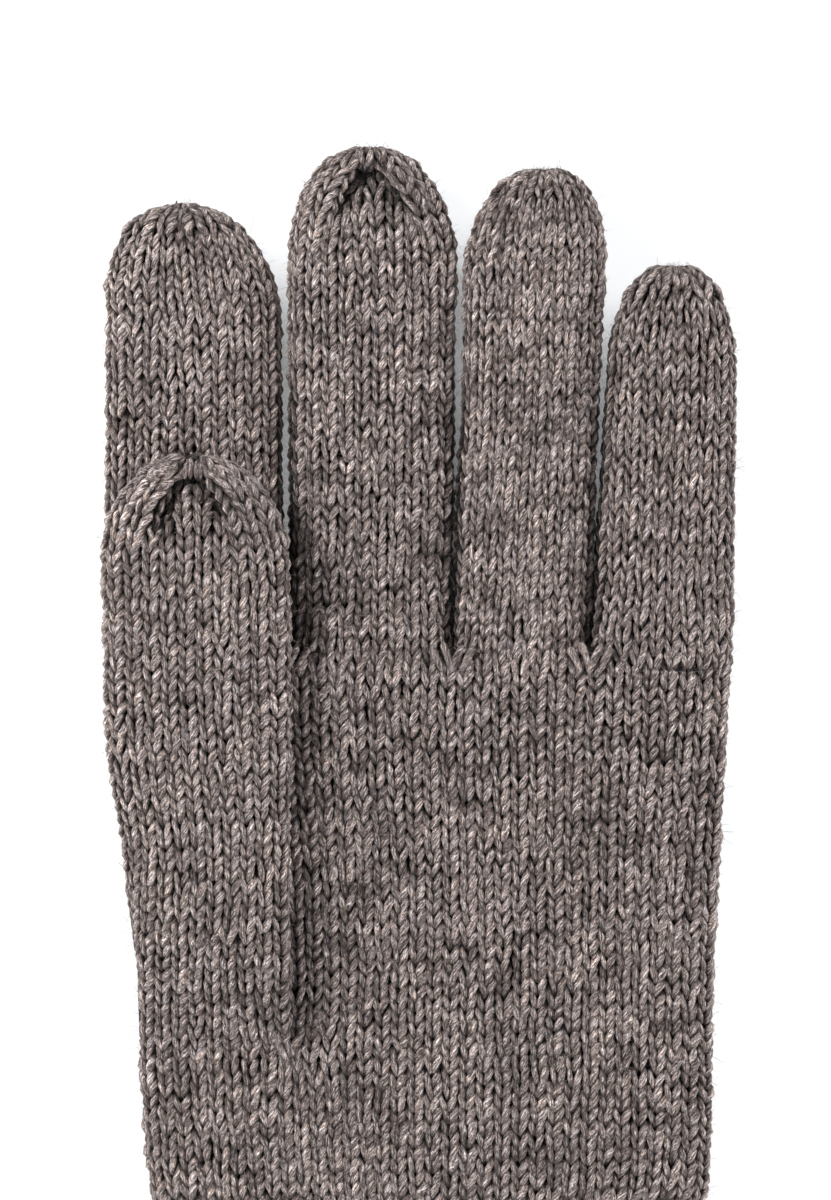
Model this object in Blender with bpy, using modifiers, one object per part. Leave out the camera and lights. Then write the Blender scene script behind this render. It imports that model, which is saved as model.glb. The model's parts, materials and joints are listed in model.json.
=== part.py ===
"""A left-hand knitted wool glove, modelled as the hollow knitted tubes it is made of.

The glove stands on the rim of its cuff, fingers up (+Z), palm towards -Y, thumb on the -X
side, folded flat over the palm. The origin is the middle of the rim of the cuff, and the
middle of the whole glove's width and depth.

Each stall (finger or thumb) is one knitted tube that bends at its knuckles, so it is cut
there into short tubes. A knuckle's hinge runs along the palm side of the tube, where the
fabric folds, and the back of the tube opens as it curls.
"""

import math

import bmesh
import bpy
from mathutils import Matrix

# ---------------------------------------------------------------- driving dimensions (metres)
WALL = 0.0016            # thickness of the knitted fabric
GAP = 0.0005             # free space between two tubes that meet end to end
SMALL_GAP = 0.0003       # free space between a small piece and what it rests on

HAND_DEPTH = 0.0114      # back of the hand to palm
STALL_DEPTH = 0.0094     # a finger or the thumb, back to front
STALL_BACK = 0.0010      # fingers sit this far in front of the plane of the back
THUMB_CLEARANCE = 0.0005
TOTAL_DEPTH = HAND_DEPTH + THUMB_CLEARANCE + STALL_DEPTH
BACK_Y = TOTAL_DEPTH / 2

CUFF_TOP = 0.0675        # where the rib of the cuff meets the hand
CROTCH_Z = 0.1695        # where the fingers part
EDGE_RADIUS = 0.0009     # rolled edge of the cuff
HAND_FLAT = 0.90         # the hand's section is flat where it passes this share of its depth

# height, left edge and right edge of the hand
HAND_OUTLINE = (
    (CUFF_TOP + GAP, -0.0400, 0.0410),
    (0.0840, -0.0434, 0.0461),
    (0.1000, -0.0447, 0.0466),
    (0.1180, -0.0453, 0.0470),
    (0.1340, -0.0465, 0.0479),
    (0.1500, -0.0490, 0.0491),
    (CROTCH_Z - GAP, -0.0502, 0.0499),
)

# edges at the crotch, edges under the rounded tip, height of the tip, centre of the tip,
# length of the rounded tip, heights of the middle and end knuckles
FINGERS = {
    "index": ((-0.0504, -0.0220), (-0.0504, -0.0223), 0.2407, -0.0380, 0.0150, 0.2035, 0.2215),
    "middle": ((-0.0204, 0.0049), (-0.0204, 0.0059), 0.2500, -0.0082, 0.0170, 0.1985, 0.2225),
    "ring": ((0.0054, 0.0270), (0.0066, 0.0297), 0.2468, 0.0200, 0.0145, 0.1973, 0.2205),
    "little": ((0.0275, 0.0499), (0.0302, 0.0508), 0.2314, 0.0408, 0.0145, 0.1918, 0.2104),
}
THUMB_BASE = (-0.0468, -0.0208)          # edges of the thumb at its foot
THUMB_EDGES = (-0.0508, -0.0208)         # and under its rounded tip
THUMB_TIP = (0.2002, -0.0360, 0.0165)    # height, centre, length of the rounded tip
THUMB_FOLD_Z = 0.1342
THUMB_SWING_Z = 0.1470
THUMB_SWING_X = -0.0484                  # just outside the thumb's outer edge at that height
THUMB_KNUCKLE_Z = 0.1740
THUMB_CROTCH_Z = 0.1055

GUSSET_WALL = 0.0012
GUSSET_COLLAR = 0.0030                   # straight stretch where the thumb tube starts
GUSSET_ROWS = 5
GUSSET_STEPS = 12
GUSSET_FOOT = (0.0062, 0.0030)           # width and height of the gusset's lower end
THUMB_HOLE = (0.0075, 0.0085)            # half width and half height

CLOSURE = (0.0026, 0.0016, 0.0006)       # half sizes of the gathered knot on a tip
JOIN_RADIUS = 0.0011
LABEL = (0.0200, 0.0004, 0.0280)

CUFF_HALF_WIDTH = 0.0400
CUFF_WAIST = 0.0385
CUFF_DEPTH = 0.0104
CUFF_RIBS = 20
RIB_RELIEF = 0.0004

TURN_TO_Y = Matrix.Rotation(math.pi / 2, 3, "X")    # stands a Z cylinder along Y
OVAL_POWER = 2.5
HAND_POWER = 3.2         # squarer than a stall's oval
CUFF_POWER = 3.0
CUFF_FLAT = 0.92
STALL_SIDES = 20
HAND_SIDES = 40
EDGE_SIDES = 48
TIP_ANGLES = (0, 25, 45, 62, 76, 84)     # rings of a rounded tip, in degrees up its curve

WOOL_HUE = (1.0, 0.84, 0.76)
STALL_SHADE = 0.150
STALL_SHADE_STEP = 0.012                 # each stretch of a stall is a little lighter


# ---------------------------------------------------------------- shared helpers
def clear_scene():
    for old in list(bpy.data.objects):
        bpy.data.objects.remove(old, do_unlink=True)


def new_collection(name):
    collection = bpy.data.collections.new(name)
    bpy.context.scene.collection.children.link(collection)
    return collection


def wool(name, colour, roughness=0.95):
    material = bpy.data.materials.new(name)
    material.use_nodes = True
    shader = material.node_tree.nodes["Principled BSDF"]
    shader.inputs["Base Color"].default_value = (*colour, 1.0)
    shader.inputs["Roughness"].default_value = roughness
    shader.inputs["Metallic"].default_value = 0.0
    return material


def front_of(height_off_back):
    """The y of a point this far in front of the plane of the back of the hand."""
    return BACK_Y - height_off_back


def oval(sides, half_width, half_depth, power=OVAL_POWER, flat=1.0, relief=0.0, ribs=0):
    """A rounded oblong about the origin, as (x, y); flat below 1 flattens front and back."""
    points = []
    for i in range(sides):
        angle = 2 * math.pi * i / sides
        across, along = math.cos(angle), math.sin(angle)
        x = math.copysign(abs(across) ** (2 / power), across)
        y = math.copysign(min(1.0, abs(along) ** (2 / power) / flat), along)
        swell = relief * math.cos(ribs * angle)
        points.append((x * (half_width + swell), y * (half_depth + swell)))
    return points


def ring_at(section, x, y, z):
    return [(x + dx, y + dy, z) for dx, dy in section]


def loft(rings, closed=True):
    """One open sheet through rings that have the same number of points, lowest ring first."""
    mesh = bmesh.new()
    rows = [[mesh.verts.new(point) for point in ring] for ring in rings]
    sides = len(rows[0])
    for low, high in zip(rows, rows[1:]):
        for i in range(sides if closed else sides - 1):
            j = (i + 1) % sides
            mesh.faces.new((low[i], low[j], high[j], high[i]))
    return mesh


def add_object(name, mesh, material, body, smooth=True):
    """Turn a bmesh in world coordinates into an object that hangs on its body's pivot."""
    pivot = PIVOTS[body]
    bmesh.ops.translate(mesh, verts=mesh.verts, vec=(-pivot[0], -pivot[1], -pivot[2]))
    data = bpy.data.meshes.new(name)
    mesh.to_mesh(data)
    mesh.free()
    data.materials.append(material)
    if smooth:
        data.shade_smooth()
        data.set_sharp_from_angle(angle=math.radians(50))
    piece = bpy.data.objects.new(name, data)
    glove.objects.link(piece)
    piece.parent = empties[body]
    return piece


def thicken(piece, wall):
    shell = piece.modifiers.new("Fabric", "SOLIDIFY")
    shell.thickness = wall
    shell.offset = -1.0
    shell.use_even_offset = True
    return shell


# ---------------------------------------------------------------- bodies and their pivots
def finger_front():
    return front_of(STALL_BACK + STALL_DEPTH + SMALL_GAP)


def thumb_front():
    return front_of(TOTAL_DEPTH + SMALL_GAP)


def body_tree():
    """Each body's parent and pivot: the pivot is on the hinge that joins it to its parent."""
    tree = {
        "hand": (None, (0.0, 0.0, 0.0)),
        "cuff": ("hand", (0.0, front_of(HAND_DEPTH + SMALL_GAP), CUFF_TOP + GAP / 2)),
    }
    for finger, (base, top, tip_z, tip_x, dome, middle_z, end_z) in FINGERS.items():
        x = (base[0] + base[1]) / 2
        tree[finger + "_base"] = ("hand", (x, finger_front(), CROTCH_Z))
        tree[finger + "_mid"] = (finger + "_base", (x, finger_front(), middle_z))
        tree[finger + "_tip"] = (finger + "_mid", (x, finger_front(), end_z))
    thumb_x = (THUMB_EDGES[0] + THUMB_EDGES[1]) / 2
    swing = (THUMB_SWING_X, front_of(TOTAL_DEPTH - STALL_DEPTH / 2), THUMB_SWING_Z)
    tree["thumb_base"] = ("hand", (thumb_x, thumb_front(), THUMB_FOLD_Z))
    tree["thumb_mid"] = ("thumb_base", swing)
    tree["thumb_tip"] = ("thumb_mid", (thumb_x, thumb_front(), THUMB_KNUCKLE_Z))
    return tree


def add_empties(tree):
    made = {}
    for body, (parent, pivot) in tree.items():
        empty = bpy.data.objects.new(body + "_pivot", None)
        empty.empty_display_size = 0.01
        glove.objects.link(empty)
        start = PIVOTS[parent] if parent else (0.0, 0.0, 0.0)
        empty.location = tuple(a - b for a, b in zip(pivot, start))
        empty.parent = made[parent] if parent else None
        made[body] = empty
    return made


# ---------------------------------------------------------------- fingers and thumb
def stall_ring(base_z, top_z, base, top, back, z):
    """A stall's oval at height z, its edges running straight from base_z to top_z."""
    share = min(1.0, max(0.0, (z - base_z) / (top_z - base_z)))
    left = base[0] + (top[0] - base[0]) * share
    right = base[1] + (top[1] - base[1]) * share
    section = oval(STALL_SIDES, (right - left) / 2, STALL_DEPTH / 2)
    return ring_at(section, (left + right) / 2, front_of(back + STALL_DEPTH / 2), z)


def tip_rings(top, back, tip_z, tip_x, dome):
    """The rounded end of a stall, up to the small hole that its yarn is drawn through."""
    closure_height = 2 * CLOSURE[2] + SMALL_GAP
    apex = tip_z - closure_height
    foot = tip_z - dome
    centre = (top[0] + top[1]) / 2
    y = front_of(back + STALL_DEPTH / 2)
    rings = []
    for angle in TIP_ANGLES:
        rise, spread = math.sin(math.radians(angle)), math.cos(math.radians(angle))
        section = oval(STALL_SIDES, (top[1] - top[0]) / 2 * spread, STALL_DEPTH / 2 * spread)
        x = centre + (tip_x - centre) * rise
        rings.append(ring_at(section, x, y, foot + (apex - foot) * rise))
    return rings


def add_closure(name, tip_x, back, tip_z, material, body):
    knot = bmesh.new()
    bmesh.ops.create_uvsphere(knot, u_segments=12, v_segments=6, radius=1.0)
    bmesh.ops.scale(knot, verts=knot.verts, vec=CLOSURE)
    where = (tip_x, front_of(back + STALL_DEPTH / 2), tip_z - CLOSURE[2])
    bmesh.ops.translate(knot, verts=knot.verts, vec=where)
    add_object(name, knot, material, body)


def add_stall(name, base, top, back, tip, cuts, bodies):
    """One stall: a tube for each stretch between two cuts, the last one with the tip."""
    tip_z, tip_x, dome = tip
    foot = tip_z - dome
    for number, (body, low) in enumerate(zip(bodies, cuts)):
        shade = STALL_SHADE + STALL_SHADE_STEP * number
        material = wool(body + "_wool", [shade * share for share in WOOL_HUE])
        last = number == len(bodies) - 1
        if last:
            rings = [stall_ring(cuts[0], foot, base, top, back, low + GAP / 2)]
            rings += tip_rings(top, back, tip_z, tip_x, dome)
        else:
            ends = (low + GAP / 2, cuts[number + 1] - GAP / 2)
            rings = [stall_ring(cuts[0], foot, base, top, back, z) for z in ends]
        thicken(add_object(body + "_tube", loft(rings), material, body), WALL)
    add_closure(name + "_tip_closure", tip_x, back, tip_z, closure_wool, bodies[-1])


def add_fingers():
    for finger, (base, top, tip_z, tip_x, dome, middle_z, end_z) in FINGERS.items():
        bodies = [finger + "_base", finger + "_mid", finger + "_tip"]
        cuts = (CROTCH_Z, middle_z, end_z)
        add_stall(finger, base, top, STALL_BACK, (tip_z, tip_x, dome), cuts, bodies)


def add_thumb():
    back = HAND_DEPTH + THUMB_CLEARANCE
    bodies = ["thumb_base", "thumb_mid", "thumb_tip"]
    cuts = (THUMB_FOLD_Z, THUMB_SWING_Z, THUMB_KNUCKLE_Z)
    add_stall("thumb", THUMB_BASE, THUMB_EDGES, back, THUMB_TIP, cuts, bodies)


# ---------------------------------------------------------------- hand
def hand_rings():
    rings = []
    for z, left, right in HAND_OUTLINE:
        section = oval(HAND_SIDES, (right - left) / 2, HAND_DEPTH / 2, HAND_POWER, HAND_FLAT)
        rings.append(ring_at(section, (left + right) / 2, front_of(HAND_DEPTH / 2), z))
    return rings


def thumb_hole_cutter():
    """An oval plug through the palm wall only, where the thumb's stall opens into the hand."""
    plug = bmesh.new()
    bmesh.ops.create_cone(plug, cap_ends=True, segments=24, radius1=1.0, radius2=1.0, depth=1.0)
    bmesh.ops.rotate(plug, verts=plug.verts, matrix=TURN_TO_Y)
    bmesh.ops.scale(plug, verts=plug.verts, vec=(THUMB_HOLE[0], 3 * WALL, THUMB_HOLE[1]))
    x = THUMB_BASE[1] - 1.6 * THUMB_HOLE[0]
    z = THUMB_FOLD_Z - 1.4 * THUMB_HOLE[1]
    bmesh.ops.translate(plug, verts=plug.verts, vec=(x, front_of(HAND_DEPTH - WALL / 2), z))
    bmesh.ops.recalc_face_normals(plug, faces=plug.faces)
    data = bpy.data.meshes.new("thumb_hole_cutter")
    plug.to_mesh(data)
    plug.free()
    cutter = bpy.data.objects.new("thumb_hole_cutter", data)
    cutters.objects.link(cutter)
    cutter.hide_render = True
    cutter.display_type = "WIRE"
    return cutter


def add_hand():
    hand = add_object("hand_tube", loft(hand_rings()), hand_wool, "hand")
    thicken(hand, WALL)
    hole = hand.modifiers.new("Thumb hole", "BOOLEAN")
    hole.operation = "DIFFERENCE"
    hole.object = thumb_hole_cutter()


def gusset_arch(share):
    """The front half of an oval, left to right, for a height this share of the way up."""
    width = GUSSET_FOOT[0] + (THUMB_BASE[1] - THUMB_BASE[0] - GUSSET_FOOT[0]) * share
    height = GUSSET_FOOT[1] + (STALL_DEPTH - GUSSET_FOOT[1]) * math.sin(share * math.pi / 2)
    points = oval(2 * GUSSET_STEPS, width / 2, height)
    front = points[GUSSET_STEPS:] + points[:1]
    return [(x + THUMB_BASE[1] - width / 2, min(y, 0.0)) for x, y in front]


def add_gusset():
    """The raised foot of the thumb: arches that grow from the thumb's crotch to its tube."""
    top = THUMB_FOLD_Z - GAP / 2
    shares = [row / GUSSET_ROWS for row in range(GUSSET_ROWS + 1)]
    heights = [THUMB_CROTCH_Z + (top - GUSSET_COLLAR - THUMB_CROTCH_Z) * share for share in shares]
    y = front_of(HAND_DEPTH + THUMB_CLEARANCE)
    rows = zip(shares + [1.0], heights + [top])
    rings = [ring_at(gusset_arch(share), 0.0, y, z) for share, z in rows]
    thicken(add_object("thumb_gusset", loft(rings, closed=False), hand_wool, "hand"), GUSSET_WALL)


def add_rod(name, centre, length, along_y):
    """A short bundle of stitches with rounded ends."""
    rod = bmesh.new()
    bmesh.ops.create_cone(
        rod, cap_ends=True, segments=12, radius1=JOIN_RADIUS, radius2=JOIN_RADIUS, depth=length
    )
    if along_y:
        bmesh.ops.rotate(rod, verts=rod.verts, matrix=TURN_TO_Y)
    bmesh.ops.translate(rod, verts=rod.verts, vec=centre)
    piece = add_object(name, rod, join_wool, "hand")
    bevel = piece.modifiers.new("Rounded ends", "BEVEL")
    bevel.width = JOIN_RADIUS / 2
    bevel.segments = 1


def add_crotch_joins():
    """Stitches that close the fabric front to back between two stalls."""
    names = list(FINGERS)
    length = HAND_DEPTH - 2 * WALL - 4 * SMALL_GAP
    z = CROTCH_Z - GAP - JOIN_RADIUS
    for left, right in zip(names, names[1:]):
        x = (FINGERS[left][0][1] + FINGERS[right][0][0]) / 2
        add_rod(f"{left}_{right}_crotch_join", (x, front_of(HAND_DEPTH / 2), z), length, True)
    x = THUMB_BASE[1] + SMALL_GAP + JOIN_RADIUS
    y = front_of(HAND_DEPTH + SMALL_GAP + JOIN_RADIUS)
    add_rod("thumb_crotch_join", (x, y, THUMB_CROTCH_Z + 2 * JOIN_RADIUS), 5 * JOIN_RADIUS, False)


# ---------------------------------------------------------------- cuff
def cuff_half_width(z):
    """The rib pulls the cuff in towards the middle of its height."""
    share = math.sin(math.pi * z / CUFF_TOP)
    return CUFF_HALF_WIDTH + (CUFF_WAIST - CUFF_HALF_WIDTH) * share


def add_cuff():
    y = front_of(HAND_DEPTH / 2)
    foot = 2 * EDGE_RADIUS + SMALL_GAP
    rings = []
    for share in (0.0, 0.33, 0.67, 1.0):
        z = foot + (CUFF_TOP - GAP / 2 - foot) * share
        width = cuff_half_width(z)
        relief = (RIB_RELIEF, CUFF_RIBS)
        section = oval(4 * CUFF_RIBS, width, CUFF_DEPTH / 2, CUFF_POWER, CUFF_FLAT, *relief)
        rings.append(ring_at(section, 0.0, y, z))
    thicken(add_object("cuff_rib", loft(rings), cuff_wool, "cuff"), WALL)


def add_cuff_edge():
    """The rolled cast-on edge that the glove stands on."""
    path = oval(EDGE_SIDES, CUFF_HALF_WIDTH - EDGE_RADIUS, CUFF_DEPTH / 2 - EDGE_RADIUS, CUFF_POWER)
    pivot = PIVOTS["cuff"]
    curve = bpy.data.curves.new("cuff_edge", "CURVE")
    curve.dimensions = "3D"
    curve.bevel_depth = EDGE_RADIUS
    curve.bevel_resolution = 2
    spline = curve.splines.new("POLY")
    spline.points.add(len(path) - 1)
    spline.use_cyclic_u = True
    for point, (x, y) in zip(spline.points, path):
        at = (x - pivot[0], y + front_of(HAND_DEPTH / 2) - pivot[1], EDGE_RADIUS - pivot[2])
        point.co = (*at, 1.0)
    curve.materials.append(cuff_wool)
    edge = bpy.data.objects.new("cuff_edge", curve)
    glove.objects.link(edge)
    edge.parent = empties["cuff"]


def add_label():
    label = bmesh.new()
    bmesh.ops.create_cube(label, size=1.0)
    bmesh.ops.scale(label, verts=label.verts, vec=LABEL)
    back_wall = front_of(HAND_DEPTH / 2 - CUFF_DEPTH / 2) - WALL - RIB_RELIEF - SMALL_GAP
    where = (0.0, back_wall - LABEL[1], CUFF_TOP - 0.75 * LABEL[2])
    bmesh.ops.translate(label, verts=label.verts, vec=where)
    add_object("care_label", label, label_cloth, "cuff", smooth=False)


# ---------------------------------------------------------------- assembly
clear_scene()
glove = new_collection("knitted_glove")
cutters = new_collection("cutters")
hand_wool = wool("hand_wool", (0.158, 0.130, 0.118))
cuff_wool = wool("cuff_wool", (0.140, 0.116, 0.106))
join_wool = wool("join_wool", (0.240, 0.200, 0.180))
closure_wool = wool("closure_wool", (0.200, 0.168, 0.152))
label_cloth = wool("label_cloth", (0.800, 0.790, 0.760), 0.6)

TREE = body_tree()
PIVOTS = {body: pivot for body, (parent, pivot) in TREE.items()}
empties = add_empties(TREE)

add_hand()
add_gusset()
add_fingers()
add_thumb()
add_crotch_joins()
add_cuff()
add_cuff_edge()
add_label()
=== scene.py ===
"""A knitted left glove, drawn stitch by stitch in two-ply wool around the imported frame.

Every course of stitches is one closed loop of yarn that runs round a tube (hand, stall or
cuff). The tubes' outlines are read from the frame's nodes, so the knit lies where they lie.
Lengths are metres; u counts wales (columns of stitches) round a tube and v counts courses
(rows) up it.
"""
import json
import math

import bpy
import numpy as np
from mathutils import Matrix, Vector


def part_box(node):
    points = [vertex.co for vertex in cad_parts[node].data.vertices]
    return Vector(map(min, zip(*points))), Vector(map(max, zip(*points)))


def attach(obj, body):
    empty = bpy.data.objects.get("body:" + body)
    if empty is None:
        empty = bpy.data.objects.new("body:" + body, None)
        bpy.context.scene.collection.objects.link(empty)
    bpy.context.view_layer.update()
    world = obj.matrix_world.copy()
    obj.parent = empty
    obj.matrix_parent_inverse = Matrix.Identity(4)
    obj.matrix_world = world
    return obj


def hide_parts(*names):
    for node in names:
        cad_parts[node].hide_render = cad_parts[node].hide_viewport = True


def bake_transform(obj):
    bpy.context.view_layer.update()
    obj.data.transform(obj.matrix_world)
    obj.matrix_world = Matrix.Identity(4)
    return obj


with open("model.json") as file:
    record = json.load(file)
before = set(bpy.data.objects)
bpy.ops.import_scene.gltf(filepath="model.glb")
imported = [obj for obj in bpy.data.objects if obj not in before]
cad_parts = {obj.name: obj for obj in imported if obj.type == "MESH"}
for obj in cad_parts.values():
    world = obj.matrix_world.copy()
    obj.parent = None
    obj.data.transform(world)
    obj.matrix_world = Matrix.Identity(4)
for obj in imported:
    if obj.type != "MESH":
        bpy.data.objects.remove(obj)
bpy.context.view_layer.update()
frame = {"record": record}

# ---- yarn and stitches
YARN_RADIUS = 0.00058
YARN_SIDES = 7
STITCH_SAMPLES = 13  # points along one stitch
LOOP_SPREAD = 1.55  # how far a loop's legs lean
LOOP_DEPTH = 0.00056  # half of how far the legs stand out in front of the heads
TWIST_DEPTH = 0.00006  # how far one leg stands in front of the other, halved
LOBE = 0.13  # how much the two plies show in the yarn's outline
PLY_PITCH = 0.0085  # length of one full turn of the plies
FACE_OFFSET = LOOP_DEPTH + 0.30 * YARN_RADIUS  # middle of the fabric, below its outer face
SHADE_SHEET_OFFSET = 0.0011  # dark sheet of painted shade inside the fabric, this far below its middle
SHADE_SHEET_OVERLAP = (0.8, 1.3)  # courses that a painted shade sheet reaches past its piece

COURSE = {"hand": 0.00200, "cuff": 0.00196, "index": 0.00186, "middle": 0.00190,
          "ring": 0.00202, "little": 0.00216, "thumb": 0.00190}
WALE = {"hand": 0.00242, "cuff": 0.00242, "index": 0.00290, "middle": 0.00266,
        "ring": 0.00236, "little": 0.00272, "thumb": 0.00272}
STITCH_SCALE = (0.42, 1.04)  # smallest and largest stitch, as a share of the plain one

# how much single stitches differ, in shares, stitches or metres
UNEVEN = {"lean": 0.16, "rise": 0.10, "across": 0.07, "along": 0.11, "height": 0.00013,
          "radius": 0.10}
WANDER_ACROSS, WANDER_ALONG = 0.12, 0.25  # of wales and courses, in stitches
COCKLE, COCKLE_SPEED = 0.00014, 1.7  # how far the fabric waves in and out, and how often

FUZZ_PER_STITCH = 4.4
FUZZ_LENGTH = (0.0005, 0.0022)
FUZZ_SHORTNESS = 2.2  # bigger makes more of the fibres short
FUZZ_LIFT = (0.2, 1.5)  # how steeply fibres leave the yarn
FUZZ_CURL = 0.35
FUZZ_RADIUS = 0.000021
FUZZ_SHADE_HEIGHT = 0.70  # fibres get the painted shade of yarn that lay this high in the fabric

SWELL_HEIGHT = 0.0010  # how far the fabric swells beside a crease
HOLLOW_SHADE = 0.0008  # how much painted shade a crease gets, as a depth
RIB_RELIEF = 0.00045  # how far knit ribs stand out, and purl ribs in
RIB_SHADE = 0.25  # share of that which is painted as shade on the purl ribs, and as light on the knit ribs
LEG_SHARE = 0.86  # mean thickness of a stitch's yarn, as a share of the full one

# ---- tubes and tips
FINGERS = ("index", "middle", "ring", "little")
OVAL_POWER = {"hand": 3.2, "cuff": 3.0, "index": 2.5, "middle": 2.5, "ring": 2.5,
              "little": 2.5, "thumb": 2.5}  # how square the tubes are: 2 is an ellipse
DOME_POWER = 2.05  # the same for the tips
DOME_TOP = 0.9985  # the last course lies at this share of a dome's height
DOME_RUN = 0.6  # share of its half width in the length of a tip's curve
DOME_NARROW = 0.98  # a tip of this share of the full width is rounding off,
DOME_SHARE = 0.2  # and lies at this share of its dome's height
TIP_OVER = 0.0001  # a tip's knit rises this far over its closure
RIM_INSET = 0.0013  # outlines are read this far inside a node's ends
RING_POINTS = 480

STALL_FLARE, FLARE_HEIGHT = 0.0011, 0.0100  # a stall is as thick as the hand at its foot,
STALL_SINK = 0.0022  # which lies this far inside the hand
BASE_SPREAD = 0.00012  # stalls spread this much on each side, low down
SPREAD_FADE = (0.010, 0.055)  # and no more between these heights over their foot
MIDDLE_FULLNESS = 0.0006  # what the middle stall is wider towards the index
RING_CLEARANCE = 0.0006  # what the upper ring stall keeps off the middle one
RING_FADE = (0.020, 0.040)  # from nothing to all of it between these heights
SIDE_SHADE, SIDE_HEIGHT = 0.00070, 0.052  # painted shade where stalls lie side by side, low down
PLEAT_SLACK = 0.14  # share of the even spacing that a pleated tip keeps
CROWN_START = {"middle": 0.88, "thumb": 0.88}  # share of a pleated dome's height where
CROWN_START_PLAIN = 0.76  # every two wales become one, and of a plain one's

CREASES = {
    # from the top of each tip: two points (x, z) of the line, then depth and half width
    "index": [((0.0000, -0.0012), (0.0001, -0.0034), 0.0014, 0.0009)],
    "middle": [((-0.0005, -0.0036), (-0.0046, -0.0096), 0.0034, 0.0011),
               ((0.0009, -0.0034), (0.0056, -0.0088), 0.0030, 0.0010)],
    "ring": [],
    "little": [],
    "thumb": [((-0.0006, -0.0019), (-0.0050, -0.0098), 0.0042, 0.0014),
              ((0.0008, -0.0026), (0.0046, -0.0084), 0.0030, 0.0010)],
}

THUMB_SWELL = 0.0014  # how far the thumb's outer side swells
SWELL_LEVELS = (0.136, 0.155, 0.184)  # where that swell starts, peaks and ends
THUMB_START = 0.0015  # the thumb's first course lies this far below the crotch
THUMB_RISE = 0.0330  # height over which the thumb's outer side leaves the palm
THUMB_EDGE_RISE = 0.0120  # and its inner edge, which lifts sooner
THUMB_BACK = 0.0017  # how deep the hidden side of the thumb's foot lies in the palm
THUMB_SHEET_RETURN = 0.010  # this far above the crotch the hidden side gets its painted shade sheet again
ROOM_DEPTH = 0.0029  # how far the palm sinks under the foot of the thumb
ROOM_EDGE = (-0.0002, 0.0012)  # outwards from the crotch,
ROOM_START = (0.0010, 0.0030)  # above the palm's last free course,
ROOM_END = (0.010, 0.030)  # and until these heights above the crotch
CROTCH_PULL, CROTCH_REACH = 0.42, 0.0050  # how the thumb's join gathers the palm

# ---- where pieces part, and where the glove bends
BEND_HALF = 0.0065  # half length of the fabric that bends at a knuckle
BASE_BEND = 0.0140  # length of it above a crotch
WRIST_BEND = (0.075, 0.060)  # the wrist bends between these heights
WRIST_TOP = 0.0770
HAND_CUTS, HAND_OVER = 6, 0.0005  # cuts above the wrist; the last is over the hand's top
THUMB_CUTS = (0.1395, 0.1610)  # where the thumb is cut in pieces
FOLD_BEND = (-0.0100, 0.0050)  # from the joint that lifts the thumb
SWING_BEND = (-0.0060, 0.0080)  # and from the one it swings on
CUFF_CUTS = np.linspace(0.0180, 0.0500, 3)
CUFF_START = 0.0010  # above the rolled edge's lower side
CUFF_END, CUFF_OVER = 0.0030, 0.0008  # above the rib's top: its tube, and its last course

# ---- strands of plain yarn
STRAND_SAMPLES = 26
STRAND_TAPER = 8.0  # bigger is shorter
CLOSURE_RADIUS, CLOSURE_STRANDS = 0.00052, 6
CLOSURE_HALF, CLOSURE_DROP = 0.0021, 0.0008  # half width, and how far the sides drop
CLOSURE_SINK = 0.0005  # its yarn's middle lies this far below the closure's top
CLOSURE_OVER = ((-0.0017, -0.0006), (0.0, 0.0), (0.0017, -0.0006))  # (y, z) along a strand
CLOSURE_END = (0.0026, -0.0030)  # and at both its ends
JOIN_RADIUS, JOIN_PROUD = 0.00064, 0.0002
JOIN_FACE = (
    # strands on one face of a crotch: points (x, out of the face, z)
    ((-0.0016, 0.0, 0.0018), (-0.0005, 0.0005, -0.0008), (0.0003, 0.0, -0.0028)),
    ((0.0017, 0.0, 0.0014), (0.0006, 0.0006, -0.0010), (-0.0004, 0.0, -0.0030)),
    ((-0.0034, -0.0004, 0.0010), (-0.0024, 0.0003, -0.0008), (-0.0014, -0.0004, -0.0028)),
    ((0.0034, -0.0004, 0.0010), (0.0024, 0.0003, -0.0008), (0.0014, -0.0004, -0.0028)),
)
JOIN_OVER = (-0.0008, 0.0008)  # strands that run over the crotch
THUMB_JOIN_RADIUS = 0.00060
THUMB_JOIN = (
    ((-0.0034, 0.0012, 0.0030), (-0.0016, 0.0008, 0.0006), (-0.0002, 0.0, -0.0018)),
    ((-0.0014, 0.0010, 0.0034), (-0.0004, 0.0008, 0.0012), (0.0006, 0.0, -0.0008)),
    ((0.0022, 0.0, 0.0034), (0.0008, 0.0005, 0.0012), (-0.0003, 0.0, -0.0010)),
)
EDGE_YARNS, EDGE_SWING, EDGE_RADIUS = 3, 0.00042, 0.00052  # the cuff's rolled edge


# ---- reading the frame
def joint_height(name):
    """How high up the glove a joint lies."""
    joints = frame["record"]["behaviour"]["joints"]
    return next(j for j in joints if j["name"] == name)["pos_m"][2]


def extents_at(node, z):
    """Left, right, front and back of a node where the level z cuts it."""
    mesh = bpy.data.objects[node].data
    co = np.array([v.co for v in mesh.vertices])
    ends = np.array([e.vertices for e in mesh.edges])
    a, b = co[ends[:, 0]], co[ends[:, 1]]
    cut = (a[:, 2] - z) * (b[:, 2] - z) <= 0
    a, b = a[cut], b[cut]
    rise = np.where(np.abs(b[:, 2] - a[:, 2]) < 1e-9, 1.0, b[:, 2] - a[:, 2])
    share = np.clip((z - a[:, 2]) / rise, 0, 1)[:, None]
    p = a + (b - a) * share
    return p[:, 0].min(), p[:, 0].max(), p[:, 1].min(), p[:, 1].max()


def outline(nodes, per_node):
    """Heights up a stack of nodes, with the left, right, front and back at each."""
    rows = []
    for node in nodes:
        low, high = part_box(node)
        for z in np.linspace(low.z + RIM_INSET, high.z - RIM_INSET, per_node):
            rows.append((z, *extents_at(node, z)))
    return np.array(rows)


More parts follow.
